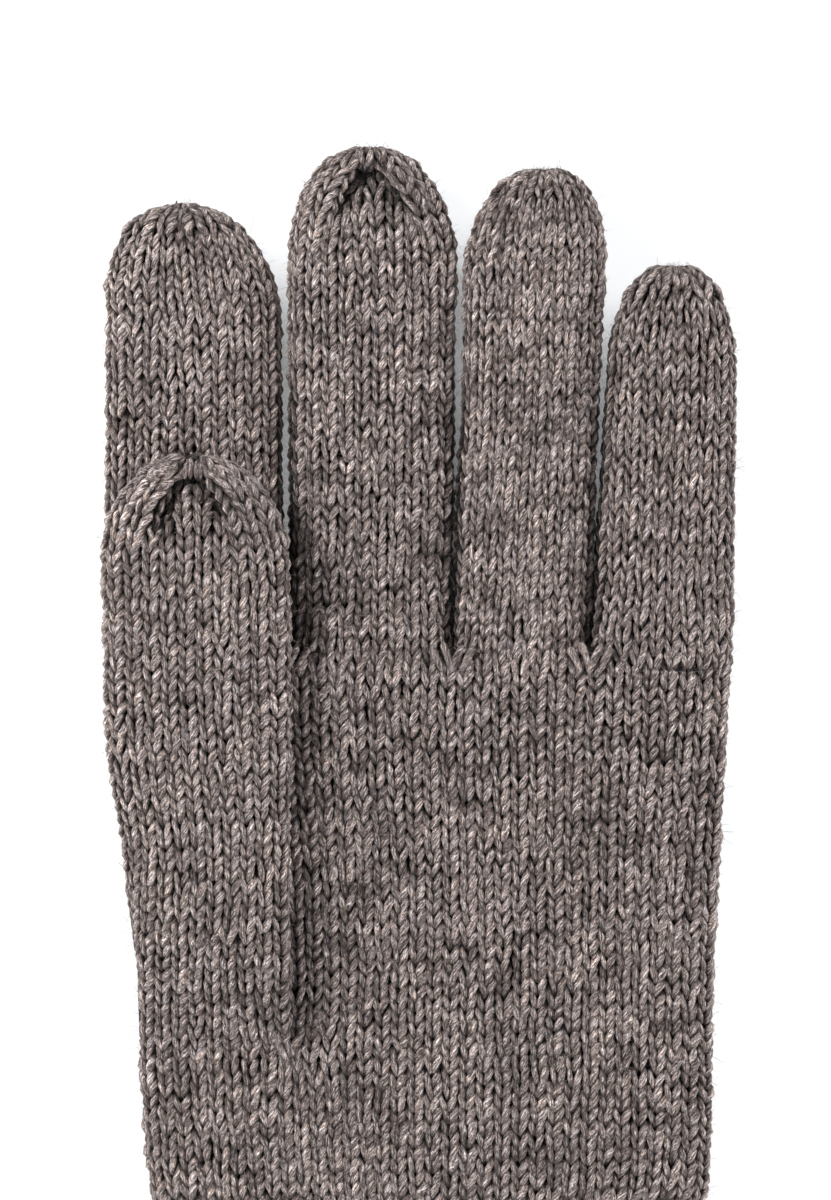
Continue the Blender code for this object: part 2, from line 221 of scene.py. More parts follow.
# ---- small tools
def smoothstep(x, low, high):
    t = np.clip((x - low) / (high - low), 0, 1)
    return t * t * (3 - 2 * t)


def unit(vectors):
    return vectors / np.maximum(np.linalg.norm(vectors, axis=-1, keepdims=True), 1e-12)


def waves(seed, count=7):
    """A smooth random field of two coordinates with values near -1 to 1."""
    r = np.random.default_rng(seed)
    shifts = r.uniform(0, 2 * math.pi, (count, 2))[:, 0]
    speeds = r.uniform(0.6, 1.7, count)
    headings = r.uniform(0, 2 * math.pi, count)

    def field(x, y):
        total = np.zeros(np.broadcast(x, y).shape)
        for shift, speed, heading in zip(shifts, speeds, headings):
            along = x * math.cos(heading) + y * math.sin(heading)
            total = total + np.sin(speed * along + shift)
        return total / math.sqrt(count)

    return field


DRIFT, ROLL = waves(7), waves(8)  # how wales and courses wander, the same over the whole glove
DRIFT_LENGTH = 0.0115


# ---- knitted tubes
class Tube:
    """The middle surface of a knitted tube, sampled on a fine grid of wales and courses."""

    FINE_U, FINE_V = 4, 2  # grid points to a wale, and to a course

    def __init__(self, kind, rows, low, top, foot=None, wales=None, phase=0.0, apex_x=None):
        """rows is an outline; a tube with a foot rounds off from there to its top."""
        self.kind, self.course, self.phase = kind, COURSE[kind], phase
        z, left, right, front, back = rows.T
        straight_top = foot or top
        self.level = self.levels(low, top, foot, np.interp(straight_top, z, right - left) / 2)
        self.courses = int((len(self.level) - 1) / self.FINE_V) - 1
        base = np.clip(self.level, low, straight_top)
        left, right, front, back = (np.interp(base, z, edge) for edge in (left, right, front, back))
        half_width = (right - left) / 2 - FACE_OFFSET
        half_depth = (back - front) / 2 - FACE_OFFSET
        centre_x = (left + right) / 2
        if foot:
            rise = np.clip((self.level - foot) / (top - foot), 0, DOME_TOP)
            round_off = (1 - rise**DOME_POWER) ** (1 / DOME_POWER)
            half_width = half_width * round_off
            half_depth = half_depth * round_off
            centre_x = centre_x + (apex_x - centre_x) * rise
        self.shape = np.stack([centre_x, (front + back) / 2, half_width, half_depth])
        girth = self.ring_at(self.level[0])[1][-1]
        self.wales = wales or int(round(girth / WALE[kind]))
        self.grid = self.build()
        self.shade_sheet_depth = np.full(self.grid.shape[:2] + (1,), SHADE_SHEET_OFFSET)
        self.painted_shade = np.zeros(self.grid.shape[:2] + (1,))

    def levels(self, low, top, foot, half_width):
        """Heights of the grid's rows: even up the straight part, even along the curve of a tip."""
        step = self.course / self.FINE_V
        straight = np.arange(low - step, (foot or top) + step, step)
        if not foot:
            return straight
        straight = straight[straight < foot]
        angle = np.linspace(0, math.pi / 2, 200)
        run = np.hypot((top - foot) * np.cos(angle), half_width * DOME_RUN * np.sin(angle))
        along = np.concatenate([[0], np.cumsum((run[1:] + run[:-1]) / 2 * (angle[1] - angle[0]))])
        start = step - (foot - straight[-1])
        steps = np.arange(start, along[-1] - step * 0.4, step)
        curve = foot + (top - foot) * np.sin(np.interp(steps, along, angle))
        return np.concatenate([straight, curve])

    def ring_at(self, z):
        """Points round the tube at height z, and the distance run to each; it starts at the back."""
        centre_x, centre_y, half_x, half_y = (np.interp(z, self.level, part) for part in self.shape)
        angle = np.linspace(-math.pi, math.pi, RING_POINTS + 1)
        power = 2 / OVAL_POWER[self.kind]
        across, ahead = np.sin(angle), np.cos(angle)
        x = centre_x + half_x * np.sign(across) * np.abs(across) ** power
        y = centre_y - half_y * np.sign(ahead) * np.abs(ahead) ** power
        points = np.stack([x, y], 1)
        run = np.concatenate([[0], np.cumsum(np.linalg.norm(np.diff(points, axis=0), axis=1))])
        return points, run

    def build(self):
        """The grid with its wales evenly spaced round every ring."""
        columns = self.wales * self.FINE_U
        share = (np.arange(columns) / columns + self.phase / self.wales) % 1
        grid = np.empty((len(self.level), columns, 3))
        grid[..., 2] = self.level[:, None]
        for row, z in enumerate(self.level):
            points, run = self.ring_at(z)
            for axis in (0, 1):
                grid[row, :, axis] = np.interp(share * run[-1], run, points[:, axis])
        return grid

    def front_run(self, z, x):
        """How far round the ring at height z the front reaches x, and the whole way round."""
        points, run = self.ring_at(z)
        quarter = len(points) // 4
        front = slice(quarter, 3 * quarter + 1)
        return np.interp(x, points[front, 0], run[front]), run[-1]

    def outward(self):
        """How far each grid point lies towards the palm side: 1 at the front, -1 at the back."""
        return (self.shape[1][:, None] - self.grid[..., 1]) / self.shape[3][:, None]

    def gather(self, x, z, pull, reach):
        """Draw the fabric together towards a point of its face."""
        away = self.grid[..., [0, 2]] - (x, z)
        share = pull * np.exp(-np.sum(away**2, 2, keepdims=True) / reach**2)
        self.grid[..., [0, 2]] -= away * share

    def crease(self, top, bottom, depth, width):
        """Tuck the front in along a line between two points (x, z): steep on its far side, where
        the fabric swells over it, and easy on the side of the tube's middle."""
        a, b = np.array(top), np.array(bottom)
        line = b - a
        place = self.grid[..., [0, 2]] - a
        share = np.clip(place @ line / (line @ line), 0, 1)
        offset = place - share[..., None] * line
        distance = np.linalg.norm(offset, axis=2)
        inner = np.sign(line[0]) * (line[0] * place[..., 1] - line[1] * place[..., 0]) < 0
        reach = np.where(inner, 1.5 * width, 0.75 * width)
        facing = smoothstep(self.outward(), 0.0, 0.7)
        press = np.exp(-((distance / reach) ** 2)) * facing * (1 - 0.35 * share)
        swell = np.exp(-(((distance - 2.2 * width) / (1.3 * width)) ** 2)) * facing * ~inner
        self.grid[..., 1] += depth * press - SWELL_HEIGHT * swell
        # painted shade along the crease
        self.painted_shade[..., 0] += HOLLOW_SHADE * press

    def pleat(self, foot, left, right):
        """Keep the wales of a tip their full width above its foot: those that no longer fit
        go under their neighbours along a seam on each side of the middle. A seam is the
        distances of its two ends from the middle, and their heights."""
        fold = self.wales / 4
        turn = ((np.arange(self.wales * self.FINE_U) / self.FINE_U + self.phase) / fold) % 4
        quarter = np.floor(turn).astype(int)
        from_middle = fold * np.abs((turn + 1) % 2 - 1)
        pitch = self.ring_at(foot)[1][-1] / self.wales
        for row in np.flatnonzero(self.level > foot):
            z = self.level[row]
            points, run = self.ring_at(z)
            reach = run[-1] / 4
            seams = [np.interp(z, heights, distances) for distances, heights in (left, right)]
            seam = np.where(quarter < 2, *seams)
            full = np.minimum(from_middle * pitch, seam)
            kept = np.maximum(reach - (fold - from_middle) * pitch, full)
            kept += PLEAT_SLACK * (from_middle / fold * reach - kept)
            start = 2 * ((quarter + 1) // 2)
            at = start * reach + np.where(quarter % 2, -kept, kept)
            for axis in (0, 1):
                self.grid[row, :, axis] = np.interp(at, run, points[:, axis])

    def finish(self):
        """Normals and local stitch size, once every dent is in the grid."""
        across = (np.roll(self.grid, -1, 1) - np.roll(self.grid, 1, 1)) * self.FINE_U / 2
        along = np.gradient(self.grid, axis=0) * self.FINE_V
        self.normal = unit(np.cross(across, along))
        width = np.linalg.norm(across, axis=2) / WALE[self.kind]
        self.size = np.clip(width, *STITCH_SCALE)[..., None]
        return self

    def at(self, u, v, *fields):
        """The given grid fields at wale u and course v; u wraps round, v is held inside."""
        u, v = np.broadcast_arrays(u, v)
        columns = self.wales * self.FINE_U
        x = (u * self.FINE_U) % columns
        y = np.clip((v + 1) * self.FINE_V, 0, len(self.level) - 1.001)
        i, j = np.floor(x).astype(int), np.floor(y).astype(int)
        fx, fy = (x - i)[..., None], (y - j)[..., None]
        i, k = i % columns, (i + 1) % columns
        out = []
        for field in fields:
            low = field[j, i] * (1 - fx) + field[j, k] * fx
            high = field[j + 1, i] * (1 - fx) + field[j + 1, k] * fx
            out.append(low * (1 - fy) + high * fy)
        return out

    def course_at(self, z):
        """The course whose middle lies at height z."""
        return int(round(np.interp(z, self.level, np.arange(len(self.level))) / self.FINE_V)) - 1


# ---- yarn
def placed(name, mesh, material):
    """A new object in the scene with the given mesh and material."""
    mesh.materials.append(material)
    piece = bpy.data.objects.new(name, mesh)
    bpy.context.scene.collection.objects.link(piece)
    return piece


class Bundle:
    """Vertices, faces and fibre coordinates gathered for one mesh."""

    def __init__(self):
        self.co, self.fibre, self.relief, self.quads, self.tris = [], [], [], [], []
        self.count = 0

    def add(self, co, fibre, relief, quads, tris=None):
        self.co.append(co.reshape(-1, 3))
        self.fibre.append(fibre.reshape(-1, 3))
        self.relief.append(relief.reshape(-1))
        self.quads.append(quads.reshape(-1, 4) + self.count)
        if tris is not None:
            self.tris.append(tris.reshape(-1, 3) + self.count)
        self.count += len(self.co[-1])

    def make(self, name, material):
        co, fibre = np.concatenate(self.co), np.concatenate(self.fibre)
        quads, tris = np.concatenate(self.quads), np.concatenate(self.tris)
        mesh = bpy.data.meshes.new(name)
        mesh.vertices.add(len(co))
        mesh.vertices.foreach_set("co", co.astype(np.float32).ravel())
        corners = np.concatenate([quads.ravel(), tris.ravel()]).astype(np.int32)
        starts = np.concatenate([np.arange(len(quads)) * 4, len(quads) * 4 + np.arange(len(tris)) * 3])
        mesh.loops.add(len(corners))
        mesh.loops.foreach_set("vertex_index", corners)
        mesh.polygons.add(len(starts))
        mesh.polygons.foreach_set("loop_start", starts.astype(np.int32))
        mesh.update(calc_edges=True)
        mesh.shade_smooth()
        data = mesh.attributes.new("fibre", "FLOAT_VECTOR", "POINT").data
        data.foreach_set("vector", fibre.astype(np.float32).ravel())
        data = mesh.attributes.new("relief", "FLOAT", "POINT").data
        data.foreach_set("value", np.concatenate(self.relief).astype(np.float32))
        return placed(name, mesh, material)


def sweep(bundle, path, normal, radius, run, height, closed=True):
    """Add round yarn along each row of path; its two plies turn about each other as it runs."""
    if closed:
        tangent = np.roll(path, -1, 1) - np.roll(path, 1, 1)
    else:
        tangent = np.gradient(path, axis=1)
    tangent = unit(tangent)
    side = unit(np.cross(tangent, normal))
    up = np.cross(side, tangent)
    angle = 2 * math.pi * np.arange(YARN_SIDES) / YARN_SIDES
    turn = 2 * math.pi * run[..., None] / PLY_PITCH
    lobe = radius[..., None] * (1 + LOBE * np.cos(2 * (angle + turn)))
    circle = np.cos(angle)[:, None] * side[:, :, None] + np.sin(angle)[:, None] * up[:, :, None]
    ring = lobe[..., None] * circle
    co = path[:, :, None] + ring
    along = np.broadcast_to(run[..., None] / YARN_RADIUS, co.shape[:3])
    fibre = np.stack([np.cos(angle + turn), np.sin(angle + turn), along], 3)
    # painted shade: the given height plus how far each point stands out of the yarn's middle sets how
    # dark it is painted
    bulge = np.sum(ring * normal[:, :, None], 3) / radius[..., None]
    outward = height[..., None] + LEG_SHARE * YARN_RADIUS * bulge
    relief = outward / (LOOP_DEPTH + YARN_RADIUS)
    index = np.arange(co.size // 3).reshape(co.shape[:3])
    ahead = np.roll(index, -1, 1)
    if not closed:
        index, ahead = index[:, :-1], ahead[:, :-1]
    quads = np.stack([index, np.roll(index, -1, 2), np.roll(ahead, -1, 2), ahead], 3)
    bundle.add(co, fibre, relief, quads)


def length_run(path, closed):
    """How far along its own line each point of a path lies."""
    before = path[:, -1:] if closed else path[:, :1]
    return np.cumsum(np.linalg.norm(np.diff(path, axis=1, prepend=before), axis=2), axis=1)


def loop_rows(tube, seed, face=None):
    """Centre lines of a tube's courses: position, normal, yarn radius, length run and the height
    in the fabric that sets their painted shade. face is +1 on knit wales and -1 on purl wales."""
    r = np.random.default_rng(seed)
    t = np.tile(np.linspace(-math.pi, math.pi, STITCH_SAMPLES, endpoint=False), tube.wales)
    wale = np.repeat(np.arange(tube.wales), STITCH_SAMPLES)
    rows = np.arange(tube.courses + 1, dtype=float)[:, None]

    def uneven(quantity):
        value = r.normal(0, UNEVEN[quantity], (len(rows), tube.wales))
        s = t / (2 * math.pi)
        near = np.where(s < 0, wale - 1, wale + 1) % tube.wales
        return value[:, wale] * (1 - np.abs(s)) + value[:, near] * np.abs(s)

    lean = LOOP_SPREAD * (1 + uneven("lean"))
    u = wale + 0.5 + (t + lean * np.sin(2 * t)) / (2 * math.pi)
    v = rows + np.cos(t) * (1 + uneven("rise"))
    place = tube.at(u, v, tube.grid)[0] / DRIFT_LENGTH
    across, up = place[..., 0], place[..., 2]
    u = u + WANDER_ACROSS * DRIFT(across, up) + uneven("across")
    v = v + WANDER_ALONG * ROLL(across, up) + uneven("along")
    position, normal, size, painted_shade = tube.at(u, v, tube.grid, tube.normal, tube.size, tube.painted_shade)
    arch = -np.cos(2 * t) if face is None else -np.cos(2 * t) * face(u)
    height = LOOP_DEPTH * arch + uneven("height") + TWIST_DEPTH * np.sin(t)
    # the painted shade follows the stitch's height, less the painted shade of creases and sides
    shade = height - painted_shade[..., 0]
    height = height + COCKLE * DRIFT(COCKLE_SPEED * across, COCKLE_SPEED * up)
    if face is not None:
        height = height + RIB_RELIEF * face(u)
        # painted shade on the purl ribs, painted light on the knit ribs
        shade = shade + RIB_SHADE * RIB_RELIEF * face(u)
    normal = unit(normal)
    height = height * size[..., 0]
    path = position + normal * height[..., None]
    thickness = (0.74 + 0.30 * np.abs(np.sin(t)) ** 3) * (1 + 0.07 * np.sin(t))
    radius = YARN_RADIUS * thickness * (1 + uneven("radius")) * size[..., 0]
    run = length_run(path, closed=True) + r.uniform(0, 1, (len(rows), 1))
    return path, normal, radius, run, shade


def add_fuzz(bundle, path, normal, radius, run, seed, share=1.0):
    """Loose fibres: thin closed spindles that leave the yarn's outer side and curl."""
    r = np.random.default_rng(seed)
    flat_path, flat_normal = path.reshape(-1, 3), normal.reshape(-1, 3)
    count = int(len(flat_path) / STITCH_SAMPLES * FUZZ_PER_STITCH * share)
    pick = r.integers(0, len(flat_path), count)
    outward = flat_normal[pick]
    sideways = r.normal(0, 1, (count, 3))
    sideways = unit(sideways - outward * np.sum(sideways * outward, 1, keepdims=True))
    leave = unit(outward * r.uniform(*FUZZ_LIFT, (count, 1)) + sideways)
    low, high = FUZZ_LENGTH
    length = low + (high - low) * r.random((count, 1)) ** FUZZ_SHORTNESS
    start = flat_path[pick] + outward * radius.reshape(-1, 1)[pick] * 0.8
    bend = r.normal(0, FUZZ_CURL, (count, 3))
    middle = start + (leave + bend * 0.3) * length * 0.5
    end = start + (leave + bend) * length
    frame_a = unit(np.cross(leave, r.normal(0, 1, (count, 3))))
    frame_b = np.cross(leave, frame_a)
    co = [start]
    for point in ((start + middle) / 2, middle, (middle + end) / 2):
        for angle in (0, 2 * math.pi / 3, 4 * math.pi / 3):
            co.append(point + FUZZ_RADIUS * (math.cos(angle) * frame_a + math.sin(angle) * frame_b))
    co.append(end)
    points = len(co)
    phase = r.uniform(0, 2 * math.pi, count)
    tone = np.stack([np.cos(phase), np.sin(phase), run.ravel()[pick] / YARN_RADIUS], 1)
    fibre = np.repeat(tone[:, None], points, 1)
    base = (np.arange(count) * points)[:, None, None]
    quads, tris = (faces[None] + base for faces in spindle_faces())
    bundle.add(np.stack(co, 1), fibre, np.full(count * points, FUZZ_SHADE_HEIGHT), quads, tris)


def spindle_faces():
    """Faces of a fibre: a point, three rings of three corners and a point again."""
    rings = [(1, 2, 3), (4, 5, 6), (7, 8, 9)]
    around = [(corner, (corner + 1) % 3) for corner in range(3)]
    quads = [(a[i], a[j], b[j], b[i]) for a, b in zip(rings, rings[1:]) for i, j in around]
    tris = [(0, rings[0][j], rings[0][i]) for i, j in around]
    tris += [(rings[2][i], rings[2][j], 10) for i, j in around]
    return np.array(quads), np.array(tris)


def add_shade_sheet(bundle, tube, low, high):
    """A dark sheet of painted shade inside the fabric, which closes the view between the stitches."""
    v = np.arange(low - SHADE_SHEET_OVERLAP[0], high + SHADE_SHEET_OVERLAP[1])[:, None]
    u = np.arange(0, tube.wales, 0.5)[None]
    position, normal, depth = tube.at(u, v, tube.grid, tube.normal, tube.shade_sheet_depth)
    co = position - normal * depth
    index = np.arange(co.size // 3).reshape(co.shape[:2])
    low_row, high_row = index[:-1], index[1:]
    quads = np.stack([low_row, np.roll(low_row, -1, 1), np.roll(high_row, -1, 1), high_row], 2)
    # the lowest shade height paints the sheet in the darkest shade
    bundle.add(co, np.zeros_like(co), np.full(co.size // 3, -1.0), quads)


def knit(name, parts, seed):
    """One piece of knitting, from courses low up to high of one tube or of several in turn."""
    bundle = Bundle()
    for tube, loops, low, high in parts:
        path, normal, radius, run, shade = (part[low:high] for part in loops)
        sweep(bundle, path, normal, radius, run, shade)
        add_fuzz(bundle, path, normal, radius, run, seed + low)
        add_shade_sheet(bundle, tube, low, high)
    return bundle.make(name, knit_wool)


# ---- materials
class Recipe:
    """A procedural material whose nodes are being wired."""

    def __init__(self, name):
        self.material = bpy.data.materials.new(name)
        self.material.use_nodes = True
        self.nodes = self.material.node_tree.nodes
        self.link = self.material.node_tree.links.new
        self.shader = self.nodes["Principled BSDF"]

    def node(self, kind, inputs=None, **settings):
        """A new node with some of its inputs and settings given."""
        made = self.nodes.new(kind)
        for key, value in (inputs or {}).items():
            made.inputs[key].default_value = value
        for key, value in settings.items():
            setattr(made, key, value)
        return made

    def surface(self, inputs):
        """Plain values for the material's shader."""
        for key, value in inputs.items():
            self.shader.inputs[key].default_value = value

    def ramp(self, source, stops):
        """A colour for each level of source, between stops of (level, colour)."""
        made = self.node("ShaderNodeValToRGB")
        elements = made.color_ramp.elements
        while len(elements) < len(stops):
            elements.new(0.5)
        for element, (place, colour) in zip(elements, stops):
            element.position = place
            element.color = (*colour, 1.0)
        self.link(source, made.inputs["Fac"])
        return made.outputs["Color"]

    def multiply(self, first, second, factor=1.0):
        """A colour socket tinted by another socket, or by a plain colour."""
        made = self.node("ShaderNodeMix", data_type="RGBA", blend_type="MULTIPLY")
        made.inputs[0].default_value = factor
        self.link(first, made.inputs[6])
        if isinstance(second, tuple):
            made.inputs[7].default_value = (*second, 1.0)
        else:
            self.link(second, made.inputs[7])
        return made.outputs[2]

    def math(self, operation, first, second):
        made = self.node("ShaderNodeMath", operation=operation)
        self.link(first, made.inputs[0])
        self.link(second, made.inputs[1])
        return made.outputs[0]

    def bump(self, source, strength, distance):
        made = self.node("ShaderNodeBump", {"Strength": strength, "Distance": distance})
        self.link(source, made.inputs["Height"])
        self.link(made.outputs["Normal"], self.shader.inputs["Normal"])


WOOL_TINT = (1.0, 0.98, 0.975)
# streaks of fibre: scale round the yarn, scale along it, shift, detail
FINE_STREAKS = (3.2, 0.58, 0.0, 5.0)
BROAD_STREAKS = (1.0, 0.16, 40.0, 2.0)
HUE_STREAKS = (1.3, 0.20, 90.0, 2.0)
STREAK_ROUGHNESS = 0.62
CLOUD = {"Scale": 85.0, "Detail": 2.0, "Roughness": 0.5}
HEATHER = (
    (0.34, (0.030, 0.023, 0.021)),
    (0.45, (0.120, 0.096, 0.088)),
    (0.54, (0.285, 0.240, 0.228)),
    (0.64, (0.700, 0.630, 0.605)),
)
PATCHES = ((0.34, (0.55, 0.53, 0.53)), (0.50, (1.0, 1.0, 1.0)), (0.66, (1.45, 1.43, 1.40)))
HUES = (
    (0.30, (0.86, 0.98, 1.12)),
    (0.45, (1.0, 1.0, 1.0)),
    (0.60, (1.0, 0.99, 0.98)),
    (0.70, (1.14, 1.02, 0.90)),
)
HUE_SHARE = 0.8
CLOUDS = ((0.30, (0.91, 0.915, 0.925)), (0.70, (1.09, 1.08, 1.07)))
# painted shade and highlight: dark where the yarn lies deep in the fabric, lighter on its outermost
# crests
PAINTED_DEPTH_SHADE = (
    (0.14, (0.050, 0.042, 0.040)),
    (0.48, (0.36, 0.33, 0.32)),
    (0.74, (0.88, 0.88, 0.88)),
    (0.95, (1.26, 1.26, 1.26)),
)
WOOL_SURFACE = {
    "Roughness": 0.88,
    "Specular IOR Level": 0.22,
    "Sheen Weight": 0.28,
    "Sheen Roughness": 0.45,
    "Sheen Tint": (0.95, 0.90, 0.86, 1.0),
}


def wool(name):
    """Heathered wool: streaks of dark, grey and pale fibre that follow the twist of the plies,
    with painted shade and highlight: darker where the yarn dips into the fabric, lighter on its
    crests."""
    recipe = Recipe(name)
    fibre = recipe.node("ShaderNodeAttribute", attribute_name="fibre").outputs["Vector"]

    def streaks(round_scale, along_scale, shift, detail):
        scale, place = (round_scale, round_scale, along_scale), (shift, 0.0, shift)
        stretch = recipe.node("ShaderNodeMapping", {"Scale": scale, "Location": place})
        recipe.link(fibre, stretch.inputs["Vector"])
        texture = {"Scale": 1.0, "Detail": detail, "Roughness": STREAK_ROUGHNESS}
        noise = recipe.node("ShaderNodeTexNoise", texture)
        recipe.link(stretch.outputs["Vector"], noise.inputs["Vector"])
        return noise.outputs["Fac"]

    fine = streaks(*FINE_STREAKS)
    place = recipe.node("ShaderNodeTexCoord").outputs["Object"]
    cloud = recipe.node("ShaderNodeTexNoise", CLOUD)
    recipe.link(place, cloud.inputs["Vector"])
    relief = recipe.node("ShaderNodeAttribute", attribute_name="relief").outputs["Fac"]

    colour = recipe.ramp(fine, HEATHER)
    colour = recipe.multiply(colour, recipe.ramp(streaks(*BROAD_STREAKS), PATCHES))
    colour = recipe.multiply(colour, recipe.ramp(streaks(*HUE_STREAKS), HUES), HUE_SHARE)
    colour = recipe.multiply(colour, recipe.ramp(cloud.outputs["Fac"], CLOUDS))
    colour = recipe.multiply(colour, WOOL_TINT)
    # paint the shade and highlight of depth in the fabric into the colour
    colour = recipe.multiply(colour, recipe.ramp(relief, PAINTED_DEPTH_SHADE))
    recipe.link(colour, recipe.shader.inputs["Base Color"])
    recipe.bump(fine, 0.70, 0.00030)
    recipe.surface(WOOL_SURFACE)
    return recipe.material


def label_material():
    """Soft woven tape: fine threads over and under, with a faint satin shine."""
    recipe = Recipe("label_tape")
    place = recipe.node("ShaderNodeTexCoord").outputs["Object"]
    threads = []
    for direction in ("X", "Z"):
        wave = recipe.node("ShaderNodeTexWave", {"Scale": 900.0, "Distortion": 0.6})
        wave.bands_direction = direction
        recipe.link(place, wave.inputs["Vector"])
        threads.append(wave.outputs["Fac"])
    weave = recipe.math("MULTIPLY", *threads)
    colour = recipe.ramp(weave, ((0.0, (0.30, 0.28, 0.25)), (1.0, (0.74, 0.71, 0.65))))
    recipe.link(colour, recipe.shader.inputs["Base Color"])
    recipe.bump(weave, 0.4, 0.0001)
    recipe.surface({"Roughness": 0.6, "Sheen Weight": 0.15})
    return recipe.material


def backdrop_material(name, shadow):
    """Glowing white with painted shadow: its glow dims where the glove closes it in. It is clear
    from behind. The shadow is two amounts of open space, and how bright the sheet is at each."""
    recipe = Recipe(name)
    recipe.surface({
        "Base Color": (0.18, 0.18, 0.18, 1),
        "Roughness": 1.0,
        "Specular IOR Level": 0.0,
        "Emission Color": (0.97, 0.985, 1, 1),
    })
    # painted shadow: the glow dims where the sheet is closed in
    open_space = recipe.node("ShaderNodeAmbientOcclusion", {"Distance": 0.014})
    ends = dict(zip(("From Min", "From Max", "To Min", "To Max"), shadow))
    glow = recipe.node("ShaderNodeMapRange", ends)
    recipe.link(open_space.outputs["AO"], glow.inputs["Value"])
    recipe.link(glow.outputs["Result"], recipe.shader.inputs["Emission Strength"])
    behind = recipe.node("ShaderNodeNewGeometry").outputs["Backfacing"]
    to_lamp = recipe.node("ShaderNodeLightPath").outputs["Is Shadow Ray"]
    blend = recipe.node("ShaderNodeMixShader")
    recipe.link(recipe.math("MAXIMUM", behind, to_lamp), blend.inputs[0])
    recipe.link(recipe.shader.outputs[0], blend.inputs[1])
    recipe.link(recipe.node("ShaderNodeBsdfTransparent").outputs[0], blend.inputs[2])
    recipe.link(blend.outputs[0], recipe.nodes["Material Output"].inputs["Surface"])
    return recipe.material


# ---- the glove's tubes
def stack(body):
    """The shell nodes of a stall from its foot to its tip."""
    return [f"{body}_{part}_tube" for part in ("base", "mid", "tip")]


def tip_of(name):
    """Where a stall's closure sits: across, and the height of its top."""
    low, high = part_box(f"{name}_tip_closure")
    return (low.x + high.x) / 2, high.z


def dome_foot(name):
    """Where a stall starts to round off, from the height at which it has narrowed a little."""
    node = f"{name}_tip_tube"
    low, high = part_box(node)
    levels = np.linspace(low.z + 0.002, high.z - 0.002, 60)
    width = np.array([np.subtract(*extents_at(node, z)[1::-1]) for z in levels])
    narrowed = levels[np.argmax(width < DOME_NARROW * width[:6].max())]
    return (narrowed - DOME_SHARE * tip_of(name)[1]) / (1 - DOME_SHARE)


def crowned(name, rows, low):
    """A stall's tube, and the same tube again with half the wales for the top of its tip."""
    apex_x, apex_z = tip_of(name)
    shape = (name, rows, low, apex_z + TIP_OVER, dome_foot(name))
    tube = Tube(*shape, apex_x=apex_x)
    if tube.wales % 2:
        tube = Tube(*shape, wales=tube.wales + 1, apex_x=apex_x)
    return tube, Tube(*shape, wales=tube.wales // 2, apex_x=apex_x)


def stall_tube(name):
    """A finger's tube and crown, shaped to lie beside its neighbours."""
    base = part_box(f"{name}_base_tube")[0].z
    rows = outline(stack(name), 9)
    rows = np.vstack([[base, *rows[0, 1:]], rows])
    above = rows[:, 0] - base
    flare = STALL_FLARE * (1 - smoothstep(above, 0, FLARE_HEIGHT))
    rows[:, 3] -= flare
    rows[:, 4] += flare
    spread = BASE_SPREAD * (1 - smoothstep(above, *SPREAD_FADE))
    rows[:, 1] -= spread + (MIDDLE_FULLNESS if name == "middle" else 0)
    rows[:, 2] += spread
    if name == "ring":
        rows[:, 1] += RING_CLEARANCE * smoothstep(above, *RING_FADE)
    tubes = crowned(name, rows, base - STALL_SINK)
    for tube in tubes:
        shade_sides(tube, FINGERS.index(name), base)
    return tubes


def shade_sides(tube, number, base):
    """Paint shade on a stall's sides low down, where they lie against the stalls beside it."""
    side = (tube.grid[..., 0] - tube.shape[0][:, None]) / tube.shape[2][:, None]
    right = smoothstep(side, 0.91, 1.0) * (number < len(FINGERS) - 1)
    left = smoothstep(-side, 0.91, 1.0) * (number > 0)
    low = 1 - smoothstep(tube.grid[..., 2], base + 0.6 * SIDE_HEIGHT, base + SIDE_HEIGHT)
    tube.painted_shade[..., 0] += SIDE_SHADE * (right + left) * low


def thumb_crotch():
    """The point of the palm where the thumb's inner edge leaves it."""
    low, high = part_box("thumb_gusset")
    return high.x, low.z


def hand_tube():
    """The hand, turned so that one of its wales ends at the thumb's crotch."""
    low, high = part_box("hand_tube")
    tube = Tube("hand", outline(["hand_tube"], 15), low.z, high.z)
    crotch_x, crotch_z = thumb_crotch()
    run, girth = tube.front_run(crotch_z, crotch_x)
    tube.phase = run / girth * tube.wales % 1
    tube.grid = tube.build()
    return tube


def thumb_tube(hand):
    """The thumb: it grows out of the palm's own stitches and lies over the palm and the index."""
    start, peak, end = SWELL_LEVELS
    rows = outline(stack("thumb"), 9)
    z = rows[:, 0]
    rows[:, 1] -= THUMB_SWELL * smoothstep(z, start, peak) * (1 - smoothstep(z, peak, end))
    first = hand.course_at(thumb_crotch()[1] - THUMB_START)
    hand.last_free = hand.level[(first + 1) * hand.FINE_V]
    low = hand.last_free + COURSE["hand"] - COURSE["thumb"] / 2
    tube, crown = crowned("thumb", rows, low)
    graft(tube, hand)
    return tube, crown


